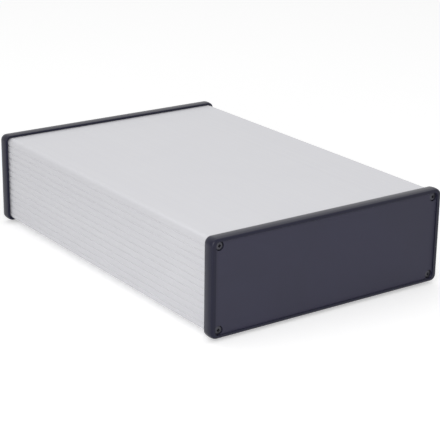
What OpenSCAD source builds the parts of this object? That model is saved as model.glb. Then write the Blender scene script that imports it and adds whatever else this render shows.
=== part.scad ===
// Extruded aluminium instrument case with two moulded end panels.
// The case lies along Y, its front panel faces -Y, and Z is up from the feet.

/* [Body] */
// Length of the extruded body, cut end to cut end
body_length = 230; // [140:1:320]
// Width of the body over its side walls
body_width = 160; // [110:1:220]
// Height of the body over its top and bottom
body_height = 54.5; // [44:0.5:90]
// Thickness of the extruded wall
wall = 2; // [1.6:0.1:2.6]
// Radius of the four long outer edges
edge_radius = 3; // [1:0.5:4]

/* [Side grooves] */
// Distance from one groove to the next
groove_pitch = 4.1; // [2.5:0.1:8]
// How deep each groove goes into the side wall
groove_depth = 0.35; // [0.2:0.05:0.5]
// Radius of the cutter that forms a groove
groove_radius = 0.6; // [0.5:0.05:1]
// Least height left plain above and below the grooves
groove_margin = 4.5; // [4.5:0.1:12]

/* [Card guides] */
// Width of the slot that takes the edge of a circuit card
guide_slot = 1.8; // [1.2:0.1:2.4]
// How far the guide ribs stand out from the side wall
guide_depth = 2.6; // [1.6:0.1:4]
// Thickness of one guide rib
guide_rib = 1.3; // [1:0.1:1.8]
// Distance from one card slot to the next
guide_pitch = 8.2; // [6.5:0.1:14]
// Least gap between the guides and the screw ports
guide_gap = 1.5; // [1:0.1:4]

/* [Screw ports] */
// From the side of the body to the middle of a screw
screw_inset_side = 3.8; // [3.6:0.1:6]
// From the top or bottom of the body to the middle of a screw
screw_inset_top = 3.05; // [3:0.05:6]
// Bore that the screw forms its thread in
port_bore = 2.5; // [2.2:0.1:2.8]
// Metal around the bore
port_wall = 1.5; // [1.2:0.1:2]
// Slit that opens the port to the inside along its length
port_slit = 1.2; // [0.8:0.1:1.6]

/* [End panels] */
// Depth of a panel from its rear edge to the crest of its rim
panel_depth = 7.2; // [6.6:0.1:10]
// How far a panel stands out past each side of the body
overhang_side = 2; // [1.4:0.1:4]
// How far a panel stands out past the top and bottom of the body
overhang_top = 1.75; // [1.4:0.05:3]
// Corner radius of a panel, seen from the front
panel_corner = 5.5; // [4.5:0.1:8]
// Rounding of the front outer edge of a panel
panel_round = 2; // [1:0.1:2.1]
// Width of the rim along the two short sides
rim_side = 3; // [2.4:0.1:3.2]
// Width of the rim along the top and bottom
rim_top = 2.1; // [2.1:0.05:2.3]
// How far the flat field lies behind the crest of the rim
field_depth = 0.9; // [0.4:0.1:1.2]
// Corner radius of the flat field
field_corner = 2.5; // [1.5:0.1:4]
// How deep the end of the body sits inside a panel
seat_depth = 2; // [1:0.1:3]
// Gap between the body and the lip of a panel around it
seat_gap = 0.15; // [0.05:0.05:0.3]

/* [Back of the end panels] */
// Thickness of the moulded skin behind the flat field
panel_skin = 2.4; // [1.6:0.1:2.8]
// Thickness of the stiffening ribs and of the locating tongues
rib_thick = 1.6; // [1:0.1:2.4]
// Number of upright stiffening ribs
rib_count = 3; // [1:1:7]
// How far a tongue reaches into the body
tongue_reach = 2.5; // [1:0.1:6]
// Gap between a tongue and the wall or guide beside it
tongue_gap = 0.25; // [0.1:0.05:0.6]
// Plain length left at each end of a tongue
tongue_margin = 12; // [9:0.5:18]
// Corner radius inside the hollow of the panel's back
hollow_corner = 2; // [1:0.1:4]

/* [Screws] */
// Diameter of a screw's head
head_diameter = 4.9; // [4.2:0.1:5]
// Height of a screw's head
head_height = 1.8; // [1.4:0.1:2]
// Rounding of the head's upper edge
head_round = 0.6; // [0.2:0.1:0.9]
// How far the head lies below the flat field
head_sink = 0.3; // [0:0.05:0.5]
// Gap around the head in its counterbore
head_gap = 0.2; // [0.1:0.05:0.25]
// Diameter of the shank over the root of its thread
shank_diameter = 2.4; // [2:0.1:2.4]
// Gap around the shank where it passes through a panel
shank_gap = 0.4; // [0.2:0.05:0.6]
// Length of a screw below its head
screw_length = 12; // [8:0.5:20]
// Span of the cross recess in the head
cross_span = 2.6; // [2:0.1:3]
// Width of one slot of the cross recess
cross_slot = 0.6; // [0.4:0.05:0.9]
// Depth of the cross recess
cross_depth = 1.1; // [0.6:0.1:1.3]

/* [Feet] */
// Diameter of a stick-on foot where it meets the case
foot_diameter = 12; // [8:0.5:18]
// Height of a foot
foot_height = 3.5; // [3.2:0.1:8]
// How much smaller a foot is in radius at the floor
foot_taper = 0.8; // [0.2:0.1:2]
// Rounding of a foot's lower edge
foot_round = 0.8; // [0.3:0.1:1.5]
// From the side of the body to the middle of a foot
foot_inset_side = 16; // [12:1:30]
// From the cut end of the body to the middle of a foot
foot_inset_end = 30; // [20:1:60]

/* [Hidden] */
$fn = 48;

// A sliver of overlap that keeps a cut clear of the face it starts from
nick = 0.1;

// Overall outline of an end panel, and the height of the middle of the case
panel_width = body_width + 2 * overhang_side;
panel_height = body_height + 2 * overhang_top;
mid_height = foot_height + body_height / 2;

// Hollow inside of the extrusion
inner_width = body_width - 2 * wall;
inner_height = body_height - 2 * wall;
inner_radius = max(edge_radius - wall, 0.5);

// Middle of the screws, from the middle of the case
screw_x = body_width / 2 - screw_inset_side;
screw_z = body_height / 2 - screw_inset_top;
port_radius = port_bore / 2 + port_wall;

// Grooves and guides, spread evenly about the middle of the side
groove_steps = floor((body_height - 2 * groove_margin) / groove_pitch);
guide_reach = guide_slot / 2 + guide_rib;
guide_top = screw_z - port_radius - guide_gap - guide_reach;
guide_steps = floor(guide_top / guide_pitch);

// Planes of an end panel, measured from its rear edge towards its crest
field_plane = panel_depth - field_depth;
skin_plane = field_plane - panel_skin;
head_plane = field_plane - head_sink - head_height;
counterbore_radius = head_diameter / 2 + head_gap;

// Rear edge of a panel, from the middle of the case
panel_edge_y = body_length / 2 - seat_depth;

// Tongues stand inside the wall at top and bottom and inside the guides at the sides
tongue_z = inner_height / 2 - tongue_gap - rib_thick / 2;
tongue_x = inner_width / 2 - guide_depth - tongue_gap - rib_thick / 2;
hollow_width = 2 * tongue_x - rib_thick;
hollow_height = 2 * tongue_z - rib_thick;

// ---- Shared shapes ----

// Flat rectangle with true round corners
module rounded_rectangle(width, height, radius) {
    square([width - 2 * radius, height], center = true);
    square([width, height - 2 * radius], center = true);
    for (x = [-1, 1], y = [-1, 1])
        translate([x * (width / 2 - radius), y * (height / 2 - radius)])
            circle(r = radius);
}

// Section across a bar whose two upper edges are rounded
module bar_section(width, depth, round) {
    translate([-width / 2, 0]) square([width, depth - round]);
    translate([round - width / 2, 0]) square([width - 2 * round, depth]);
    for (x = [-1, 1])
        translate([x * (width / 2 - round), depth - round])
            circle(r = round);
}

// One quarter of a round post with its upper edge rounded
module corner_quarter(radius, depth, round) {
    rotate_extrude(angle = 90) {
        square([radius, depth - round]);
        square([radius - round, depth]);
        translate([radius - round, depth - round]) circle(r = round);
    }
}

// Slab with round corners and a rounded upper edge all the way round
module soft_edged_slab(width, height, depth, corner, round) {
    rotate([90, 0, 0])
        linear_extrude(height = height - 2 * corner, center = true)
            bar_section(width, depth, round);
    rotate([90, 0, 90])
        linear_extrude(height = width - 2 * corner, center = true)
            bar_section(height, depth, round);
    for (turn = [0 : 3]) {
        x = (turn == 0 || turn == 3) ? 1 : -1;
        y = (turn < 2) ? 1 : -1;
        translate([x * (width / 2 - corner), y * (height / 2 - corner), 0])
            rotate([0, 0, 90 * turn])
                corner_quarter(corner, depth, round);
    }
}

// Puts its children at the four screw places of the flat outline
module at_screws() {
    for (x = [-1, 1], z = [-1, 1])
        translate([x * screw_x, z * screw_z]) children();
}

// Turns a flat outline upright, with its own +Z facing the front of the case
module facing_front() {
    translate([0, 0, mid_height]) rotate([90, 0, 0]) children();
}

// ---- Body ----

// Round port in one upper corner of the section, joined to both walls
module port_metal() {
    translate([screw_x, screw_z]) circle(r = port_radius);
    translate([screw_x - port_radius, screw_z])
        square([port_radius + screw_inset_side - wall / 2, screw_inset_top - wall / 2]);
    translate([screw_x, screw_z - port_radius])
        square([screw_inset_side - wall / 2, port_radius + screw_inset_top - wall / 2]);
}

// Bore and slit of that port
module port_hollow() {
    translate([screw_x, screw_z]) circle(d = port_bore);
    translate([screw_x - port_radius - nick, screw_z - port_slit / 2])
        square([port_radius + nick, port_slit]);
}

// Pair of ribs that hold one card edge, on the +X wall
module card_guide() {
    for (side = [-1, 1])
        translate([
            inner_width / 2 - guide_depth,
            side * (guide_slot + guide_rib) / 2 - guide_rib / 2,
        ])
            square([guide_depth + wall / 2, guide_rib]);
}

// Section of the extrusion, seen from the front
module body_section() {
    difference() {
        union() {
            difference() {
                rounded_rectangle(body_width, body_height, edge_radius);
                rounded_rectangle(inner_width, inner_height, inner_radius);
            }
            for (x = [0, 1], z = [0, 1])
                mirror([x, 0]) mirror([0, z]) port_metal();
            for (x = [0, 1], step = [-guide_steps : guide_steps])
                mirror([x, 0]) translate([0, step * guide_pitch]) card_guide();
        }
        for (x = [0, 1], z = [0, 1])
            mirror([x, 0]) mirror([0, z]) port_hollow();
        for (x = [-1, 1], step = [0 : groove_steps])
            translate([
                x * (body_width / 2 + groove_radius - groove_depth),
                (step - groove_steps / 2) * groove_pitch,
            ])
                circle(r = groove_radius, $fn = 32);
    }
}

module body_shell() {
    color("#d3d4d7")
        facing_front()
            linear_extrude(height = body_length, center = true)
                body_section();
}

// ---- End panels ----

// Outer form of a panel: rounded rim, sunk flat field and lip around the body
module panel_form() {
    difference() {
        soft_edged_slab(panel_width, panel_height, panel_depth, panel_corner, panel_round);
        translate([0, 0, field_plane])
            linear_extrude(height = field_depth + nick)
                rounded_rectangle(
                    panel_width - 2 * rim_side,
                    panel_height - 2 * rim_top,
                    field_corner
                );
        translate([0, 0, -nick])
            linear_extrude(height = seat_depth + nick)
                rounded_rectangle(
                    body_width + 2 * seat_gap,
                    body_height + 2 * seat_gap,
                    edge_radius + seat_gap
                );
    }
}

// Hollow moulded into the back, crossed by stiffening ribs
module panel_hollow() {
    spacing = hollow_width / (rib_count + 1);
    translate([0, 0, seat_depth - nick])
        linear_extrude(height = skin_plane - seat_depth + nick)
            difference() {
                rounded_rectangle(
                    hollow_width - 2 * hollow_corner,
                    hollow_height - 2 * hollow_corner,
                    hollow_corner
                );
                for (rib = [1 : rib_count])
                    translate([rib * spacing - hollow_width / 2, 0])
                        square([rib_thick, hollow_height], center = true);
                square([hollow_width, rib_thick], center = true);
            }
}

// Four straight tongues that centre the panel inside the body
module panel_tongues() {
    long = 2 * (screw_x - tongue_margin);
    short = 2 * (screw_z - tongue_margin / 1.5);
    translate([0, 0, seat_depth - tongue_reach])
        linear_extrude(height = tongue_reach + nick) {
            for (z = [-1, 1])
                translate([0, z * tongue_z])
                    square([long, rib_thick], center = true);
            for (x = [-1, 1])
                translate([x * tongue_x, 0])
                    square([rib_thick, short], center = true);
        }
}

// Hole and counterbore for one screw
module screw_hole() {
    translate([0, 0, -nick])
        cylinder(h = panel_depth, d = shank_diameter + 2 * shank_gap);
    translate([0, 0, head_plane])
        cylinder(h = panel_depth, r = counterbore_radius);
}

module end_panel() {
    difference() {
        union() {
            panel_form();
            panel_tongues();
        }
        panel_hollow();
        at_screws() screw_hole();
    }
}

module front_end_panel() {
    color("#464850")
        translate([0, -panel_edge_y, 0]) facing_front() end_panel();
}

module rear_end_panel() {
    color("#464850")
        rotate([0, 0, 180])
            translate([0, -panel_edge_y, 0]) facing_front() end_panel();
}

// ---- Screws ----

// Outline of half a screw, from its axis outwards, with the head's seat at zero
module screw_outline() {
    radius = head_diameter / 2;
    translate([0, -screw_length]) square([shank_diameter / 2, screw_length + nick]);
    square([radius, head_height - head_round]);
    square([radius - head_round, head_height]);
    translate([radius - head_round, head_height - head_round]) circle(r = head_round);
}

// Cross recess, cut down from the top of the head
module cross_recess() {
    translate([0, 0, head_height - cross_depth])
        for (turn = [0, 90])
            rotate([0, 0, turn])
                translate([-cross_span / 2, -cross_slot / 2, 0])
                    cube([cross_span, cross_slot, cross_depth + nick]);
}

// One screw at its place in the front panel
module front_screw(x, z) {
    color("#1c1c1f")
        translate([0, -panel_edge_y, 0])
            facing_front()
                translate([x * screw_x, z * screw_z, head_plane])
                    difference() {
                        rotate_extrude() screw_outline();
                        cross_recess();
                    }
}

// The same screw in the rear panel, turned about the middle of the case
module rear_screw(x, z) {
    rotate([0, 0, 180]) front_screw(-x, z);
}

// ---- Feet ----

// One rubber foot, wide where it sticks to the case
module foot(x, y) {
    top = foot_diameter / 2;
    low = top - foot_taper;
    color("#26262a")
        translate([
            x * (body_width / 2 - foot_inset_side),
            y * (body_length / 2 - foot_inset_end),
            0,
        ])
            rotate_extrude() {
                polygon([
                    [0, 0],
                    [low - foot_round, 0],
                    [low, foot_round],
                    [top, foot_height],
                    [0, foot_height],
                ]);
                translate([low - foot_round, foot_round]) circle(r = foot_round);
            }
}

body_shell();
front_end_panel();
rear_end_panel();
front_screw(-1, 1);  // front_screw_top_left
front_screw(1, 1);  // front_screw_top_right
front_screw(-1, -1);  // front_screw_bottom_left
front_screw(1, -1);  // front_screw_bottom_right
rear_screw(-1, 1);  // rear_screw_top_left
rear_screw(1, 1);  // rear_screw_top_right
rear_screw(-1, -1);  // rear_screw_bottom_left
rear_screw(1, -1);  // rear_screw_bottom_right
foot(-1, -1);  // foot_front_left
foot(1, -1);  // foot_front_right
foot(-1, 1);  // foot_rear_left
foot(1, 1);  // foot_rear_right
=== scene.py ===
"""Dresses the extruded aluminium instrument case and lights it in a small studio.

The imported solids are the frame. The extruded body and the rubber feet keep
their own meshes and get their finishes here. The two moulded end panels and
their eight screws are modelled here with finer forms, and each replaces its
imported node. Everything is in metres, with the front panel facing -Y and Z up
from the feet.
"""

from __future__ import annotations

import logging
import math
from dataclasses import dataclass, field
from enum import Enum

import bpy
from mathutils import Matrix, Vector

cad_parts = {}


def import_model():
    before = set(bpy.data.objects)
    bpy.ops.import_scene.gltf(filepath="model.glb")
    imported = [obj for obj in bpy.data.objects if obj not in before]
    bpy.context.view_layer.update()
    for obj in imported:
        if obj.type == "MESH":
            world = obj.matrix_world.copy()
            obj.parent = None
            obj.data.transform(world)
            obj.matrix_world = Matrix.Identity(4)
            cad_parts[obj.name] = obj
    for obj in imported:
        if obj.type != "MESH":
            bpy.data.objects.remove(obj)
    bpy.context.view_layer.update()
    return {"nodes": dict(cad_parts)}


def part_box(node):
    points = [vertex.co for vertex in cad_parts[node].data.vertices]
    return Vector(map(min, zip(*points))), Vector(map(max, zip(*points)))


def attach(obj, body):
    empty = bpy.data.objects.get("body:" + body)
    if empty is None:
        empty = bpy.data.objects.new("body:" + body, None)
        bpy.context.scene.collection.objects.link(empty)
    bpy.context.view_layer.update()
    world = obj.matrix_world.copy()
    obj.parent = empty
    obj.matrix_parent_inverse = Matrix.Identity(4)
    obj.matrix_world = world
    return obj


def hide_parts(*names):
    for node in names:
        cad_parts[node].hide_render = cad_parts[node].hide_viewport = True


LOG = logging.getLogger("instrument_case")
MM = 0.001

LEAST_WIDTH = 1e-7

Colour = tuple[float, float, float]
Triple = tuple[float, float, float]


class Slot(Enum):
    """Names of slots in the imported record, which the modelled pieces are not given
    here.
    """

    PANEL = "panel_plastic"
    SCREW = "screw_steel"


# ---- Shader graphs ----


@dataclass
class Graph:
    """A node tree with short calls for adding and joining nodes."""

    tree: bpy.types.NodeTree

    def add(self, kind: str, label: str = "", **values: object) -> bpy.types.Node:
        """Adds a node and fills its inputs.

        Args:
            kind: Blender's name of the node type.
            label: A maker's name for the node.
            **values: Inputs by name, with spaces as underscores. A socket is
                linked and anything else is set as the input's value.

        Returns:
            The new node.
        """
        node = self.tree.nodes.new(kind)
        node.label = label
        for name, value in values.items():
            self.put(node, name.replace("_", " "), value)
        return node

    def put(self, node: bpy.types.Node, name: str | int, value: object) -> None:
        """Links a socket to an input, or sets the input's value.

        Args:
            node: Node that has the input.
            name: Name or index of the input.
            value: Socket to link, or value to set.
        """
        if isinstance(value, bpy.types.NodeSocket):
            self.tree.links.new(value, node.inputs[name])
        else:
            node.inputs[name].default_value = value

    def math(
        self,
        operation: str,
        first: object,
        second: object = 0.0,
        third: object = 0.0,
    ) -> bpy.types.NodeSocket:
        """Adds a Math node.

        Args:
            operation: Blender's name of the operation.
            first: First value or socket.
            second: Second value or socket.
            third: Third value or socket.

        Returns:
            The node's output socket.
        """
        node = self.tree.nodes.new("ShaderNodeMath")
        node.operation = operation
        for index, value in enumerate((first, second, third)):
            self.put(node, index, value)
        return node.outputs[0]

    def between(
        self, value: object, low: float, high: float, start: float, end: float
    ) -> bpy.types.NodeSocket:
        """Maps a value smoothly from one range to another.

        Args:
            value: Socket to map.
            low: Value that becomes start.
            high: Value that becomes end.
            start: First result.
            end: Last result.

        Returns:
            The mapped socket.
        """
        node = self.tree.nodes.new("ShaderNodeMapRange")
        node.interpolation_type = "SMOOTHSTEP"
        for index, number in enumerate((value, low, high, start, end)):
            self.put(node, index, number)
        return node.outputs[0]

    def mix(self, share: object, first: object, second: object) -> bpy.types.NodeSocket:
        """Mixes two colours.

        Args:
            share: Share of the second colour, from 0 to 1.
            first: First colour or socket.
            second: Second colour or socket.

        Returns:
            The mixed colour's socket.
        """
        node = self.tree.nodes.new("ShaderNodeMix")
        node.data_type = "RGBA"
        self.put(node, 0, share)
        for index, value in ((6, first), (7, second)):
            if isinstance(value, tuple):
                value = (*value, 1.0)
            self.put(node, index, value)
        return node.outputs[2]

    def noise(
        self, place: object, scale: object, detail: float, distortion: float = 0.0
    ) -> bpy.types.NodeSocket:
        """Adds a noise pattern.

        Args:
            place: Vector socket that the pattern is laid on.
            scale: Cells in a metre.
            detail: Octaves of finer detail.
            distortion: How far the pattern is swirled.

        Returns:
            The pattern's value, about 0.5 on average.
        """
        node = self.add("ShaderNodeTexNoise", Vector=place, Scale=scale, Detail=detail)
        self.put(node, "Distortion", distortion)
        return node.outputs["Fac"]

    def relief(
        self, shader: bpy.types.Node, height: object, strength: float, depth: float
    ) -> None:
        """Turns a height into a shader's normal.

        Args:
            shader: The shader that gets the normal.
            height: Socket with the height, in shares of the depth.
            strength: Strength of the bump, from 0 to 1.
            depth: Depth that a height of 1 stands for.
        """
        node = self.add("ShaderNodeBump", "fine relief", Height=height)
        self.put(node, "Strength", strength)
        self.put(node, "Distance", depth)
        self.put(shader, "Normal", node.outputs[0])

    def stretch(self, place: object, scale: Triple) -> bpy.types.NodeSocket:
        """Scales a pattern's coordinates.

        Args:
            place: Coordinates to scale.
            scale: Factors along X, Y and Z.

        Returns:
            The scaled coordinates.
        """
        node = self.add("ShaderNodeMapping", "pattern stretch", Vector=place)
        node.inputs["Scale"].default_value = scale
        return node.outputs[0]

    def use(self, group: bpy.types.NodeTree, **values: object) -> bpy.types.Node:
        """Places a node group.

        Args:
            group: The group to place.
            **values: Inputs by name, as in add.

        Returns:
            The group's node.
        """
        node = self.tree.nodes.new("ShaderNodeGroup")
        node.node_tree = group
        for name, value in values.items():
            self.put(node, name.replace("_", " "), value)
        return node


def new_group(
    name: str, inputs: dict[str, str], outputs: dict[str, str]
) -> tuple[Graph, bpy.types.Node, bpy.types.Node]:
    """Starts a shader node group.

    Args:
        name: Name of the effect.
        inputs: Input names with "Vector", "Float" or "Color".
        outputs: Output names with the same.

    Returns:
        The group's graph, its input node and its output node.
    """
    tree = bpy.data.node_groups.new(name, "ShaderNodeTree")
    for in_out, sockets in (("INPUT", inputs), ("OUTPUT", outputs)):
        for socket, kind in sockets.items():
            tree.interface.new_socket(
                name=socket, in_out=in_out, socket_type="NodeSocket" + kind
            )
    source = tree.nodes.new("NodeGroupInput")
    result = tree.nodes.new("NodeGroupOutput")
    return Graph(tree), source, result


@dataclass(frozen=True)
class SurfaceEffects:
    """Effects that more than one finish uses, each a node group."""

    grain: bpy.types.NodeTree
    handling: bpy.types.NodeTree

    @classmethod
    def make(cls) -> SurfaceEffects:
        """Builds each node group once."""
        return cls(grain=cls._grain(), handling=cls._handling())

    @staticmethod
    def _grain() -> bpy.types.NodeTree:
        """Fine even grain, as etched metal or spark-textured plastic has.

        Returns:
            Group with a Height between -1 and 1 and a matching Mask.
        """
        graph, source, result = new_group(
            "surface_grain",
            {"Place": "Vector", "Cells": "Float", "Coarse": "Float"},
            {"Height": "Float", "Mask": "Float"},
        )
        place, cells, coarse = (source.outputs[i] for i in range(3))
        fine = graph.noise(place, cells, 3.0)
        broad = graph.noise(place, graph.math("MULTIPLY", cells, 0.31), 1.0)
        mixed = graph.math("MULTIPLY_ADD", broad, coarse, fine)
        middle = graph.math("MULTIPLY_ADD", coarse, 0.5, 0.5)
        height = graph.math("MULTIPLY", graph.math("SUBTRACT", mixed, middle), 2.0)
        graph.put(result, "Height", height)
        graph.put(result, "Mask", graph.between(height, -0.6, 0.6, 0.0, 1.0))
        return graph.tree

    @staticmethod
    def _handling() -> bpy.types.NodeTree:
        """Broad faint cloudiness that storage and wiping leave on a surface.

        Returns:
            Group with a Cloud from 0 to 1.
        """
        graph, source, result = new_group(
            "handling_cloud",
            {"Place": "Vector", "Cells": "Float"},
            {"Cloud": "Float"},
        )
        place, cells = source.outputs[0], source.outputs[1]
        cloud = graph.noise(place, cells, 4.0, distortion=0.6)
        graph.put(result, "Cloud", graph.between(cloud, 0.3, 0.7, 0.0, 1.0))
        return graph.tree


def new_material(name: str) -> tuple[bpy.types.Material, Graph, bpy.types.Node]:
    """Starts a material with one Principled shader.

    Args:
        name: Name of the finish.

    Returns:
        The material, its graph and its Principled node.
    """
    material = bpy.data.materials.new(name)
    material.use_nodes = True
    graph = Graph(material.node_tree)
    shader = material.node_tree.nodes["Principled BSDF"]
    return material, graph, shader


@dataclass(frozen=True)
class AnodisedAluminium:
    """Matt etched and natural anodised extrusion, faintly lined along Y."""

    pale: Colour = (0.640, 0.640, 0.662)
    deep: Colour = (0.615, 0.614, 0.640)
    roughness: float = 0.55
    metallic: float = 0.75
    line_cells: float = 2600.0
    broad_share: float = 0.16
    line_length: float = 7.0
    grain_cells: float = 5200.0
    cloud_cells: float = 14.0
    relief_strength: float = 0.12
    relief_depth: float = 0.03 * MM

    def build(self, effects: SurfaceEffects) -> bpy.types.Material:
        """Makes the material.

        Args:
            effects: The shared node groups.

        Returns:
            The finished material.
        """
        material, graph, shader = new_material("anodised_aluminium")
        place = graph.add("ShaderNodeTexCoord").outputs["Object"]
        along = graph.stretch(place, (1.0, self.line_length / self.line_cells, 1.0))
        fine_lines = graph.noise(along, self.line_cells, 3.0)
        broad_lines = graph.noise(along, self.line_cells * self.broad_share, 2.0)
        grain = graph.use(effects.grain, Place=place, Cells=self.grain_cells, Coarse=0.5)
        wiped = graph.use(effects.handling, Place=place, Cells=self.cloud_cells)
        cloud = wiped.outputs["Cloud"]
        streak = graph.math("MULTIPLY", fine_lines, 0.5)
        streak = graph.math("MULTIPLY_ADD", broad_lines, 0.5, streak)
        lined = graph.between(streak, 0.3, 0.7, 0.0, 0.75)
        tone = graph.math("MULTIPLY_ADD", cloud, 0.25, lined)
        graph.put(shader, "Base Color", graph.mix(tone, self.deep, self.pale))
        graph.put(shader, "Metallic", self.metallic)
        rough = graph.math("MULTIPLY_ADD", streak, 0.05, self.roughness - 0.025)
        rough = graph.math("MULTIPLY_ADD", cloud, -0.02, rough)
        graph.put(shader, "Roughness", rough)
        height = graph.math("MULTIPLY_ADD", grain.outputs["Height"], 0.35, streak)
        graph.relief(shader, height, self.relief_strength, self.relief_depth)
        return material


@dataclass(frozen=True)
class MouldedPlastic:
    """Graphite plastic: a spark-textured field inside a smoother rim.

    The field is told from the rim by its place on the panel, from the panel's
    own measured box and the widths of its rim. The rim's darker colour is partly
    the smooth plastic's own deeper tone and partly painted dark reflection of the room.
    """

    rim_side: float
    rim_top: float
    field_depth: float
    field_colour: Colour = (0.0272, 0.0265, 0.0486)
    # Rim colour: partly the smooth rim's own deeper tone, partly painted dark reflection
    # of the room on its glossy crest and rounding.
    rim_tone_and_painted_dark_reflection: Colour = (0.004, 0.004, 0.019)
    field_roughness: float = 0.52
    rim_roughness: float = 0.30
    specular: float = 0.3
    grain_cells: float = 2400.0
    rim_grain: float = 0.15
    cloud_cells: float = 22.0
    mask_blur: float = 0.05 * MM
    relief_strength: float = 0.35
    relief_depth: float = 0.05 * MM

    def build(
        self, effects: SurfaceEffects, low: Vector, high: Vector, faces: float
    ) -> bpy.types.Material:
        """Makes the material for one panel.

        Args:
            effects: The shared node groups.
            low: Lowest corner of the panel.
            high: Highest corner of the panel.
            faces: -1 for the front panel, which faces -Y, and 1 for the rear.

        Returns:
            The finished material.
        """
        name = "front_panel_plastic" if faces < 0 else "rear_panel_plastic"
        material, graph, shader = new_material(name)
        place = graph.add("ShaderNodeTexCoord").outputs["Object"]
        inside = self._field_mask(graph, place, low, high, faces)
        grain = graph.use(effects.grain, Place=place, Cells=self.grain_cells, Coarse=0.8)
        wiped = graph.use(effects.handling, Place=place, Cells=self.cloud_cells)
        cloud = wiped.outputs["Cloud"]
        # Painted dark reflection: the rim gets the darker colour and the field keeps its
        # own.
        colour = graph.mix(inside, self.rim_tone_and_painted_dark_reflection, self.field_colour)
        lighter = graph.math("MULTIPLY_ADD", cloud, 0.10, 0.95)
        shade = graph.add("ShaderNodeVectorMath", "cloudy tone")
        shade.operation = "SCALE"
        graph.put(shade, 0, colour)
        graph.put(shade, "Scale", lighter)
        graph.put(shader, "Base Color", shade.outputs[0])
        rough = graph.between(inside, 0.0, 1.0, self.rim_roughness, self.field_roughness)
        rough = graph.math("MULTIPLY_ADD", cloud, 0.03, rough)
        graph.put(shader, "Roughness", rough)
        graph.put(shader, "Specular IOR Level", self.specular)
        deep = graph.math("MULTIPLY_ADD", inside, 1.0 - self.rim_grain, self.rim_grain)
        height = graph.math("MULTIPLY", grain.outputs["Height"], deep)
        graph.relief(shader, height, self.relief_strength, self.relief_depth)
        return material

    def _field_mask(
        self,
        graph: Graph,
        place: bpy.types.NodeSocket,
        low: Vector,
        high: Vector,
        faces: float,
    ) -> bpy.types.NodeSocket:
        """Marks the sunk field with 1 and the rim with 0.

        Args:
            graph: The material's graph.
            place: Object coordinates.
            low: Lowest corner of the panel.
            high: Highest corner of the panel.
            faces: Which way the panel faces along Y.

        Returns:
            The mask's socket.
        """
        split = graph.add("ShaderNodeSeparateXYZ", Vector=place)
        middle_z = (low.z + high.z) / 2
        half_x = (high.x - low.x) / 2 - self.rim_side
        half_z = (high.z - low.z) / 2 - self.rim_top
        crest = low.y if faces < 0 else high.y
        across = graph.math("ABSOLUTE", split.outputs["X"])
        up = graph.math("SUBTRACT", split.outputs["Z"], middle_z)
        up = graph.math("ABSOLUTE", up)
        depth = graph.math("SUBTRACT", split.outputs["Y"], crest)
        depth = graph.math("ABSOLUTE", depth)
        blur = self.mask_blur
        wide = graph.between(across, half_x - blur, half_x + blur, 1.0, 0.0)
        tall = graph.between(up, half_z - blur, half_z + blur, 1.0, 0.0)
        sunk = graph.between(
            depth, self.field_depth * 0.8, self.field_depth * 0.95, 0.0, 1.0
        )
        return graph.math("MULTIPLY", graph.math("MULTIPLY", wide, tall), sunk)


@dataclass(frozen=True)
class BlackedSteel:
    """Black plated screw steel."""

    colour: Colour = (0.050, 0.050, 0.060)
    roughness: float = 0.40
    metallic: float = 0.85
    grain_cells: float = 9000.0
    relief_strength: float = 0.15
    relief_depth: float = 0.02 * MM

    def build(self, effects: SurfaceEffects) -> bpy.types.Material:
        """Makes the material.

        Args:
            effects: The shared node groups.

        Returns:
            The finished material.
        """
        material, graph, shader = new_material("blacked_steel")
        place = graph.add("ShaderNodeTexCoord").outputs["Object"]
        grain = graph.use(effects.grain, Place=place, Cells=self.grain_cells, Coarse=0.6)
        mask = grain.outputs["Mask"]
        paler = tuple(channel * 1.5 for channel in self.colour)
        graph.put(shader, "Base Color", graph.mix(mask, self.colour, paler))
        graph.put(shader, "Metallic", self.metallic)
        rough = graph.math("MULTIPLY_ADD", mask, 0.1, self.roughness - 0.05)
        graph.put(shader, "Roughness", rough)
        height = grain.outputs["Height"]
        graph.relief(shader, height, self.relief_strength, self.relief_depth)
        return material


@dataclass(frozen=True)
class FootRubber:
    """Soft black rubber with a dull moulded skin."""

    colour: Colour = (0.022, 0.022, 0.023)
    dusty: Colour = (0.05, 0.049, 0.047)
    roughness: float = 0.78
    grain_cells: float = 3600.0
    cloud_cells: float = 260.0
    relief_strength: float = 0.3
    relief_depth: float = 0.05 * MM

    def build(self, effects: SurfaceEffects) -> bpy.types.Material:
        """Makes the material.

        Args:
            effects: The shared node groups.

        Returns:
            The finished material.
        """
        material, graph, shader = new_material("foot_rubber")
        place = graph.add("ShaderNodeTexCoord").outputs["Object"]
        grain = graph.use(effects.grain, Place=place, Cells=self.grain_cells, Coarse=1.0)
        wiped = graph.use(effects.handling, Place=place, Cells=self.cloud_cells)
        cloud = wiped.outputs["Cloud"]
        dust = graph.math("MULTIPLY", cloud, 0.4)
        graph.put(shader, "Base Color", graph.mix(dust, self.colour, self.dusty))
        rough = graph.math("MULTIPLY_ADD", cloud, 0.1, self.roughness)
        graph.put(shader, "Roughness", rough)
        height = grain.outputs["Height"]
        graph.relief(shader, height, self.relief_strength, self.relief_depth)
        return material


# ---- The case ----


def dress(node: bpy.types.Object, material: bpy.types.Material) -> None:
    """Gives every material slot of a piece one finish, and reports the piece.

    Args:
        node: The piece.
        material: Its finish.
    """
    if not node.data.materials:
        node.data.materials.append(material)
    for index in range(len(node.data.materials)):
        node.data.materials[index] = material
    LOG.info("%s: %s", node.name, material.name)


def start_alone() -> None:
    """Leaves edit mode and deselects everything, so that the next piece is alone."""
    if bpy.context.mode != "OBJECT":
        bpy.ops.object.mode_set(mode="OBJECT")
    bpy.ops.object.select_all(action="DESELECT")


def settle(name: str) -> bpy.types.Object:
    """Names the active piece and moves its place, turn and size into its mesh.

    Args:
        name: Name of the piece.

    Returns:
        The piece, unturned and unscaled at the origin.
    """
    piece = bpy.context.active_object
    piece.name = name
    bpy.ops.object.transform_apply(location=True, rotation=True, scale=True)
    return piece


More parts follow.
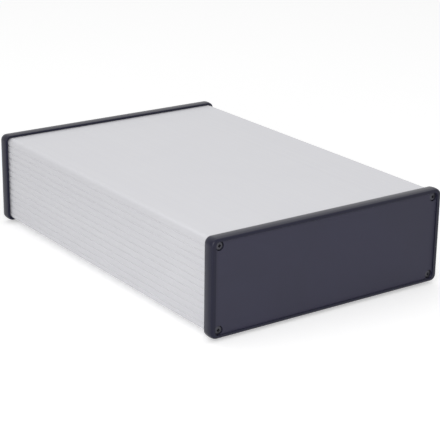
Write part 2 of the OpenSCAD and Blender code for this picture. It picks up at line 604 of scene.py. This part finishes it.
def pick_faces(piece: bpy.types.Object, facing: Vector, reach: float) -> None:
    """Selects the faces that point one way and lie furthest that way.

    Args:
        piece: The active piece, which is left in edit mode.
        facing: Direction of the wanted faces.
        reach: How far behind the furthest face one may lie.
    """
    bpy.ops.object.mode_set(mode="EDIT")
    bpy.ops.mesh.select_mode(type="FACE")
    bpy.ops.mesh.select_all(action="DESELECT")
    bpy.ops.object.mode_set(mode="OBJECT")
    furthest = max(face.center.dot(facing) for face in piece.data.polygons)
    for face in piece.data.polygons:
        ahead = face.center.dot(facing) > furthest - reach
        face.select = ahead and face.normal.dot(facing) > 0.99
    bpy.ops.object.mode_set(mode="EDIT")


def inset_by(steps: list[tuple[float, float]]) -> None:
    """Insets the selected face step by step.

    Args:
        steps: Pairs of width and rise, one for each inset.
    """
    for width, rise in steps:
        bpy.ops.mesh.inset(
            thickness=max(width, LEAST_WIDTH), depth=rise, use_even_offset=True
        )


def cut_with(piece: bpy.types.Object, cutter: bpy.types.Object) -> None:
    """Cuts one piece out of another, and removes the cutter.

    Args:
        piece: The piece that is cut.
        cutter: The piece that is taken out of it.
    """
    start_alone()
    piece.select_set(True)
    bpy.context.view_layer.objects.active = piece
    cut = piece.modifiers.new("cut", "BOOLEAN")
    cut.operation, cut.solver, cut.object = "DIFFERENCE", "EXACT", cutter
    bpy.ops.object.modifier_apply(modifier=cut.name)
    bpy.data.objects.remove(cutter)


def place_copy(
    pattern: bpy.types.Object, name: str, place: Matrix
) -> bpy.types.Object:
    """Copies a finished piece with its own mesh to one place on the case.

    Args:
        pattern: The piece that is modelled once.
        name: Name of the copy.
        place: Where the copy stands.

    Returns:
        The copy, riding on the case.
    """
    copy = bpy.data.objects.new(name, pattern.data.copy())
    bpy.context.scene.collection.objects.link(copy)
    copy.data.transform(place)
    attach(copy, "root")
    return copy


@dataclass
class ExtrudedBody:
    """The grooved aluminium tube."""

    nodes: dict[str, bpy.types.Object]
    finish: AnodisedAluminium = field(default_factory=AnodisedAluminium)

    def make(self, effects: SurfaceEffects) -> None:
        """Dresses the body."""
        dress(self.nodes["body_shell"], self.finish.build(effects))


@dataclass
class EndPanels:
    """The two moulded panels, each with a crowned rim round a sunk field.

    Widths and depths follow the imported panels. The crowned sides, the small
    edge radii and the tight corners are modelled here.
    """

    slab: float = 0.6 * MM
    corner: float = 4.1 * MM
    corner_steps: int = 12
    crown_depth: float = 0.28 * MM
    crown_steps: int = 4
    edge_round: float = 1.15 * MM
    edge_steps: int = 5
    rear_edge_share: float = 0.35
    crest_width: float = 0.65 * MM
    rim_side: float = 3.0 * MM
    rim_top: float = 2.1 * MM
    field_depth: float = 0.9 * MM
    fillet: float = 0.15 * MM
    seat_depth: float = 2.0 * MM
    lip: tuple[float, float] = (1.85 * MM, 1.6 * MM)
    bore: float = 2.65 * MM
    bore_facets: int = 48
    head_seat: float = 3.0 * MM
    smooth_angle: float = math.radians(28)

    def make(self, effects: SurfaceEffects, screws: list[Vector]) -> None:
        """Models and dresses both panels.

        Args:
            effects: The shared node groups.
            screws: Middles of the front screws.
        """
        finish = MouldedPlastic(self.rim_side, self.rim_top, self.field_depth)
        low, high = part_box("front_end_panel")
        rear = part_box("body_shell")[0].y + self.seat_depth
        pattern = self._model(low, high, rear, screws)
        turned = Matrix.Rotation(math.pi, 4, "Z")
        for node, name, place, faces in (
            ("front_end_panel", "front_panel_moulding", Matrix.Identity(4), -1.0),
            ("rear_end_panel", "rear_panel_moulding", turned, 1.0),
        ):
            panel = place_copy(pattern, name, place)
            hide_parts(node)
            dress(panel, finish.build(effects, *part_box(node), faces))
        bpy.data.objects.remove(pattern)

    def _model(
        self, low: Vector, high: Vector, rear: float, screws: list[Vector]
    ) -> bpy.types.Object:
        """Models the front panel in its own place.

        Args:
            low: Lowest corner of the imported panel.
            high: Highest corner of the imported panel.
            rear: Y of the lip's rear edge.
            screws: Middles of the screws.

        Returns:
            The modelled panel.
        """
        rise = (rear - low.y - self.slab) / 2
        half = (high.x - low.x) / 2
        start_alone()
        bpy.ops.mesh.primitive_cube_add(
            size=1.0, location=(0.0, (low.y + rear) / 2, (low.z + high.z) / 2)
        )
        bpy.context.active_object.scale = (high.x - low.x, self.slab, high.z - low.z)
        panel = settle("panel_pattern")
        self._round_corners(panel)
        self._raise_rim(panel, rise, half)
        self._sink_lip(panel, rise, half)
        start_alone()
        for screw in screws:
            self._bore_for(panel, screw, low.y)
        panel.select_set(True)
        bpy.context.view_layer.objects.active = panel
        bpy.ops.object.shade_smooth_by_angle(angle=self.smooth_angle)
        return panel

    def _round_corners(self, panel: bpy.types.Object) -> None:
        """Bevels the four edges that run along Y.

        Args:
            panel: Thin slab with sharp corners.
        """
        bpy.ops.object.mode_set(mode="EDIT")
        bpy.ops.mesh.select_mode(type="EDGE")
        bpy.ops.mesh.select_all(action="DESELECT")
        bpy.ops.object.mode_set(mode="OBJECT")
        points = panel.data.vertices
        for edge in panel.data.edges:
            run = points[edge.vertices[0]].co - points[edge.vertices[1]].co
            edge.select = abs(run.y) > 0.9 * run.length
        bpy.ops.object.mode_set(mode="EDIT")
        bpy.ops.mesh.bevel(offset=self.corner, segments=self.corner_steps)
        bpy.ops.object.mode_set(mode="OBJECT")

    def _crown(self, rise: float, edge: float) -> list[tuple[float, float]]:
        """Works out the inset steps of one crowned half with a round edge.

        Args:
            rise: Distance from the widest place to the outer face.
            edge: Radius of the edge.

        Returns:
            Pairs of width and rise, from the widest place outwards.
        """
        run = rise - edge
        steps = []
        for step in range(self.crown_steps):
            near, far = step / self.crown_steps, (step + 1) / self.crown_steps
            steps.append((self.crown_depth * (far**2 - near**2), run * (far - near)))
        for step in range(self.edge_steps):
            near = math.pi / 2 * step / self.edge_steps
            far = math.pi / 2 * (step + 1) / self.edge_steps
            width = edge * (math.cos(near) - math.cos(far))
            steps.append((width, edge * (math.sin(far) - math.sin(near))))
        return steps

    def _raise_rim(self, panel: bpy.types.Object, rise: float, half: float) -> None:
        """Grows the front half and sinks the field into it.

        The face is squeezed across once, because the rim is wider at the sides.

        Args:
            panel: Thin slab with round corners.
            rise: Height of the crest above the slab.
            half: Half the panel's width.
        """
        pick_faces(panel, Vector((0.0, -1.0, 0.0)), MM)
        inset_by(self._crown(rise, self.edge_round))
        inset_by([(self.crest_width, 0.0)])
        taken = self.crown_depth + self.edge_round + self.crest_width
        bpy.ops.transform.resize(value=((half - self.rim_side) / (half - taken), 1, 1))
        wall = self.field_depth - 2 * self.fillet
        # Flat start, upper fillet, nearly upright wall, lower fillet.
        inset_by(
            [
                (0.3 * self.fillet, 0.0),
                (0.7 * self.fillet, -self.fillet),
                (0.2 * self.fillet, -wall),
                (0.7 * self.fillet, -self.fillet),
            ]
        )
        bpy.ops.object.mode_set(mode="OBJECT")

    def _sink_lip(self, panel: bpy.types.Object, rise: float, half: float) -> None:
        """Grows the rear half and sinks the seat of the body into it.

        Args:
            panel: The panel with its front half.
            rise: Height of the lip's edge above the slab.
            half: Half the panel's width.
        """
        side, top = self.lip
        pick_faces(panel, Vector((0.0, 1.0, 0.0)), MM)
        edge = self.rear_edge_share * self.edge_round
        inset_by(self._crown(rise, edge))
        inset_by([(top - self.crown_depth - edge, 0.0)])
        bpy.ops.transform.resize(value=((half - side) / (half - top), 1, 1))
        inset_by([(0.0, -self.seat_depth)])
        bpy.ops.object.mode_set(mode="OBJECT")

    def _bore_for(self, panel: bpy.types.Object, screw: Vector, crest: float) -> None:
        """Cuts the counterbore of one screw.

        Args:
            panel: The panel.
            screw: Middle of the screw.
            crest: Y of the crest of the rim.
        """
        start_alone()
        bpy.ops.mesh.primitive_cylinder_add(
            vertices=self.bore_facets,
            radius=self.bore,
            depth=2 * self.head_seat,
            location=(screw.x, crest, screw.z),
            rotation=(math.pi / 2, 0.0, 0.0),
        )
        cut_with(panel, settle("bore_cutter"))


@dataclass
class PanelScrews:
    """The eight recessed screws that hold the panels."""

    nodes: dict[str, bpy.types.Object]
    head_radius: float = 2.45 * MM
    head_height: float = 1.8 * MM
    head_facets: int = 48
    head_round: float = 0.55 * MM
    round_steps: int = 5
    dome: float = 0.16 * MM
    dome_steps: tuple[tuple[float, float], ...] = ((0.7 * MM, 0.65), (0.6 * MM, 0.35))
    recess_span: float = 2.7 * MM
    recess_slot: float = 0.62 * MM
    recess_depth: float = 1.35 * MM
    recess_taper: float = 0.5
    core_mouth: float = 0.9 * MM
    core_floor: float = 0.216 * MM
    core_depth: float = 1.62 * MM
    shank_radius: float = 1.2 * MM
    shank_length: float = 11.0 * MM
    tip: tuple[float, float] = (0.5 * MM, 1.0 * MM)
    turns: tuple[float, ...] = (17.0, -38.0, 8.0, 29.0, -11.0, 41.0, -24.0, 3.0)
    smooth_angle: float = math.radians(35)
    finish: BlackedSteel = field(default_factory=BlackedSteel)

    def middles(self) -> list[Vector]:
        """Measures where the front screws are.

        Returns:
            The middle of each front screw.
        """
        names = sorted(name for name in self.nodes if name.startswith("front_screw"))
        return [sum(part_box(name), Vector()) / 2 for name in names]

    def make(self, effects: SurfaceEffects) -> None:
        """Models one screw and puts its copies in the eight places.

        Args:
            effects: The shared node groups.
        """
        material = self.finish.build(effects)
        pattern = self._model()
        names = sorted(name for name in self.nodes if "_screw_" in name)
        for name, turn in zip(names, self.turns):
            low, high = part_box(name)
            front = name.startswith("front")
            face = low.y if front else high.y
            middle = (low + high) / 2
            place = Matrix.Translation((middle.x, face, middle.z))
            if not front:
                place = place @ Matrix.Rotation(math.pi, 4, "Z")
            place = place @ Matrix.Rotation(math.radians(turn), 4, "Y")
            screw = place_copy(pattern, name + "_detail", place)
            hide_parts(name)
            dress(screw, material)
        bpy.data.objects.remove(pattern)

    def _model(self) -> bpy.types.Object:
        """Models a screw whose head faces -Y with its top at the origin.

        Returns:
            The modelled screw.
        """
        start_alone()
        bpy.ops.mesh.primitive_cylinder_add(
            vertices=self.head_facets,
            radius=self.head_radius,
            depth=self.head_height - self.dome,
            location=(0.0, (self.head_height + self.dome) / 2, 0.0),
            rotation=(math.pi / 2, 0.0, 0.0),
        )
        screw = settle("screw_pattern")
        pick_faces(screw, Vector((0.0, -1.0, 0.0)), 0.1 * MM)
        bpy.ops.mesh.bevel(offset=self.head_round, segments=self.round_steps)
        bpy.ops.object.mode_set(mode="OBJECT")
        pick_faces(screw, Vector((0.0, -1.0, 0.0)), 0.05 * MM)
        inset_by([(width, share * self.dome) for width, share in self.dome_steps])
        bpy.ops.object.mode_set(mode="OBJECT")
        pick_faces(screw, Vector((0.0, 1.0, 0.0)), 0.1 * MM)
        shoulder = self.head_radius - self.shank_radius
        inset_by([(shoulder, 0.0), (0.0, self.shank_length), self.tip])
        bpy.ops.object.mode_set(mode="OBJECT")
        for turn in (0.0, math.pi / 2):
            cut_with(screw, self._slot_cutter(turn))
        start_alone()
        bpy.ops.mesh.primitive_cone_add(
            vertices=32,
            radius1=self.core_mouth,
            radius2=self.core_floor,
            depth=self.core_depth,
            location=(0.0, self.recess_depth / 2, 0.0),
            rotation=(-math.pi / 2, 0.0, 0.0),
        )
        cut_with(screw, settle("core_cutter"))
        bpy.ops.object.shade_smooth_by_angle(angle=self.smooth_angle)
        return screw

    def _slot_cutter(self, turn: float) -> bpy.types.Object:
        """Models the tapered cutter of one slot of the cross.

        Args:
            turn: Turn of the slot about the screw's axis.

        Returns:
            The cutter.
        """
        start_alone()
        bpy.ops.mesh.primitive_cube_add(size=1.0, location=(0.0, 0.0, 0.0))
        bpy.context.active_object.scale = (
            self.recess_span,
            2 * self.recess_depth,
            self.recess_slot,
        )
        bpy.context.active_object.rotation_euler = (0.0, turn, 0.0)
        cutter = settle("slot_cutter")
        pick_faces(cutter, Vector((0.0, 1.0, 0.0)), 0.1 * MM)
        bpy.ops.transform.resize(value=(self.recess_taper, 1.0, self.recess_taper))
        bpy.ops.object.mode_set(mode="OBJECT")
        return cutter


@dataclass
class RubberFeet:
    """The four stick-on feet."""

    nodes: dict[str, bpy.types.Object]
    finish: FootRubber = field(default_factory=FootRubber)

    def make(self, effects: SurfaceEffects) -> None:
        """Dresses each foot.

        Args:
            effects: The shared node groups.
        """
        material = self.finish.build(effects)
        for name in sorted(n for n in self.nodes if n.startswith("foot_")):
            dress(self.nodes[name], material)


# ---- Studio ----


@dataclass
class StudioCamera:
    """A long lens that looks down on the front left corner of the case."""

    azimuth: float = -35.2856
    elevation: float = 19.3523
    roll: float = 0.7603
    distance: float = 0.925784
    right: float = 0.004038
    rise: float = -0.011925
    lens: float = 121.554
    shift: tuple[float, float] = (0.01115, 0.00732)
    sensor: float = 36.0
    clip: tuple[float, float] = (0.01, 50.0)

    def make(self, aim: Vector) -> None:
        """Adds the camera.

        Args:
            aim: Middle of the case, which the camera is placed from.
        """
        turn, lift = math.radians(self.azimuth), math.radians(self.elevation)
        back = Vector(
            (
                math.sin(turn) * math.cos(lift),
                -math.cos(turn) * math.cos(lift),
                math.sin(lift),
            )
        )
        side = Vector((math.cos(turn), math.sin(turn), 0.0))
        up = back.cross(side)
        place = aim + back * self.distance + side * self.right + up * self.rise
        tip = math.radians(self.roll)
        across = side * math.cos(tip) + up * math.sin(tip)
        above = up * math.cos(tip) - side * math.sin(tip)
        data = bpy.data.cameras.new("studio_camera")
        data.sensor_width = self.sensor
        data.lens = self.lens
        data.shift_x, data.shift_y = self.shift
        data.clip_start, data.clip_end = self.clip
        camera = bpy.data.objects.new("studio_camera", data)
        bpy.context.scene.collection.objects.link(camera)
        turned = Matrix((across, above, back)).transposed().to_4x4()
        camera.matrix_world = Matrix.Translation(place) @ turned
        bpy.context.scene.camera = camera
        LOG.info("camera at %s", tuple(round(value, 3) for value in place))


@dataclass
class SoftLight:
    """One rectangular soft light, aimed at the case."""

    name: str
    direction: Triple
    distance: float
    size: tuple[float, float]
    power: float
    colour: Colour = (1.0, 1.0, 1.0)

    def make(self, aim: Vector) -> None:
        """Adds the light on a line from the case.

        Args:
            aim: Point that the light looks at.
        """
        data = bpy.data.lights.new(self.name, "AREA")
        data.shape = "RECTANGLE"
        data.size, data.size_y = self.size
        data.energy = self.power
        data.color = self.colour
        lamp = bpy.data.objects.new(self.name, data)
        bpy.context.scene.collection.objects.link(lamp)
        out = Vector(self.direction).normalized()
        turned = out.to_track_quat("Z", "Y").to_matrix().to_4x4()
        lamp.matrix_world = Matrix.Translation(aim + out * self.distance) @ turned
        LOG.info("light %s", self.name)


@dataclass
class Studio:
    """White floor, soft lights and an even pale room."""

    aim: Vector
    floor_reach: float = 6.0
    floor_colour: Colour = (0.80, 0.80, 0.80)
    floor_glow: float = 0.40
    room_level: float = 0.55
    lights: tuple[SoftLight, ...] = (
        SoftLight("overhead_soft", (0.0, 0.25, 1.0), 1.3, (1.6, 1.6), 4.0),
        SoftLight("left_key", (-1.0, -1.1, 0.6), 0.75, (0.5, 0.5), 2.6),
    )

    def make(self) -> None:
        """Adds camera, floor, room and lights."""
        StudioCamera().make(self.aim)
        self._floor()
        self._room()
        for light in self.lights:
            light.make(self.aim)

    def _floor(self) -> None:
        """Adds the floor, a sheet that shows white and keeps shadows."""
        start_alone()
        bpy.ops.mesh.primitive_plane_add(size=2 * self.floor_reach)
        floor = bpy.context.active_object
        floor.name = "studio_floor"
        material = bpy.data.materials.new("floor_sheet")
        material.use_nodes = True
        graph = Graph(material.node_tree)
        material.node_tree.nodes.clear()
        matt = graph.add("ShaderNodeBsdfDiffuse", "matt sheet")
        matt.inputs["Color"].default_value = (*self.floor_colour, 1.0)
        glow = graph.add("ShaderNodeEmission", "white sheet")
        glow.inputs["Color"].default_value = (1.0, 1.0, 1.0, 1.0)
        seen = self._seen(graph)
        graph.put(glow, "Strength", graph.math("MULTIPLY", seen, self.floor_glow))
        both = graph.add("ShaderNodeAddShader")
        graph.put(both, 0, matt.outputs[0])
        graph.put(both, 1, glow.outputs[0])
        graph.add("ShaderNodeOutputMaterial", Surface=both.outputs[0])
        floor.data.materials.append(material)

    def _room(self) -> None:
        """Makes the world a pale room that shows white where it is seen."""
        world = bpy.data.worlds.new("pale_room")
        bpy.context.scene.world = world
        world.use_nodes = True
        world.node_tree.nodes.clear()
        graph = Graph(world.node_tree)
        seen = self._seen(graph)
        strength = graph.between(seen, 0.0, 1.0, self.room_level, 1.0)
        light = graph.add("ShaderNodeBackground", Strength=strength)
        light.inputs["Color"].default_value = (1.0, 1.0, 1.0, 1.0)
        graph.add("ShaderNodeOutputWorld", Surface=light.outputs[0])

    @staticmethod
    def _seen(graph: Graph) -> bpy.types.NodeSocket:
        """Tells the rays of a view from those that carry light.

        Args:
            graph: The graph that asks.

        Returns:
            1 for rays from the camera, a reflection or a clear body, else 0.
        """
        path = graph.add("ShaderNodeLightPath")
        rays = [path.outputs[f"Is {kind} Ray"] for kind in ("Camera", "Glossy")]
        seen = graph.math("MAXIMUM", *rays)
        return graph.math("MAXIMUM", seen, path.outputs["Is Transmission Ray"])


def main() -> None:
    """Builds the dressed case and its studio."""
    logging.basicConfig(level=logging.INFO, format="%(name)s %(message)s")
    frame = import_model()
    scene = bpy.context.scene
    scene.view_settings.view_transform = "Standard"
    low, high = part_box("body_shell")
    aim = (low + high) / 2
    Studio(aim).make()
    effects = SurfaceEffects.make()
    nodes = frame["nodes"]
    screws = PanelScrews(nodes)
    ExtrudedBody(nodes).make(effects)
    EndPanels().make(effects, screws.middles())
    screws.make(effects)
    RubberFeet(nodes).make(effects)


if __name__ == "__main__":
    main()
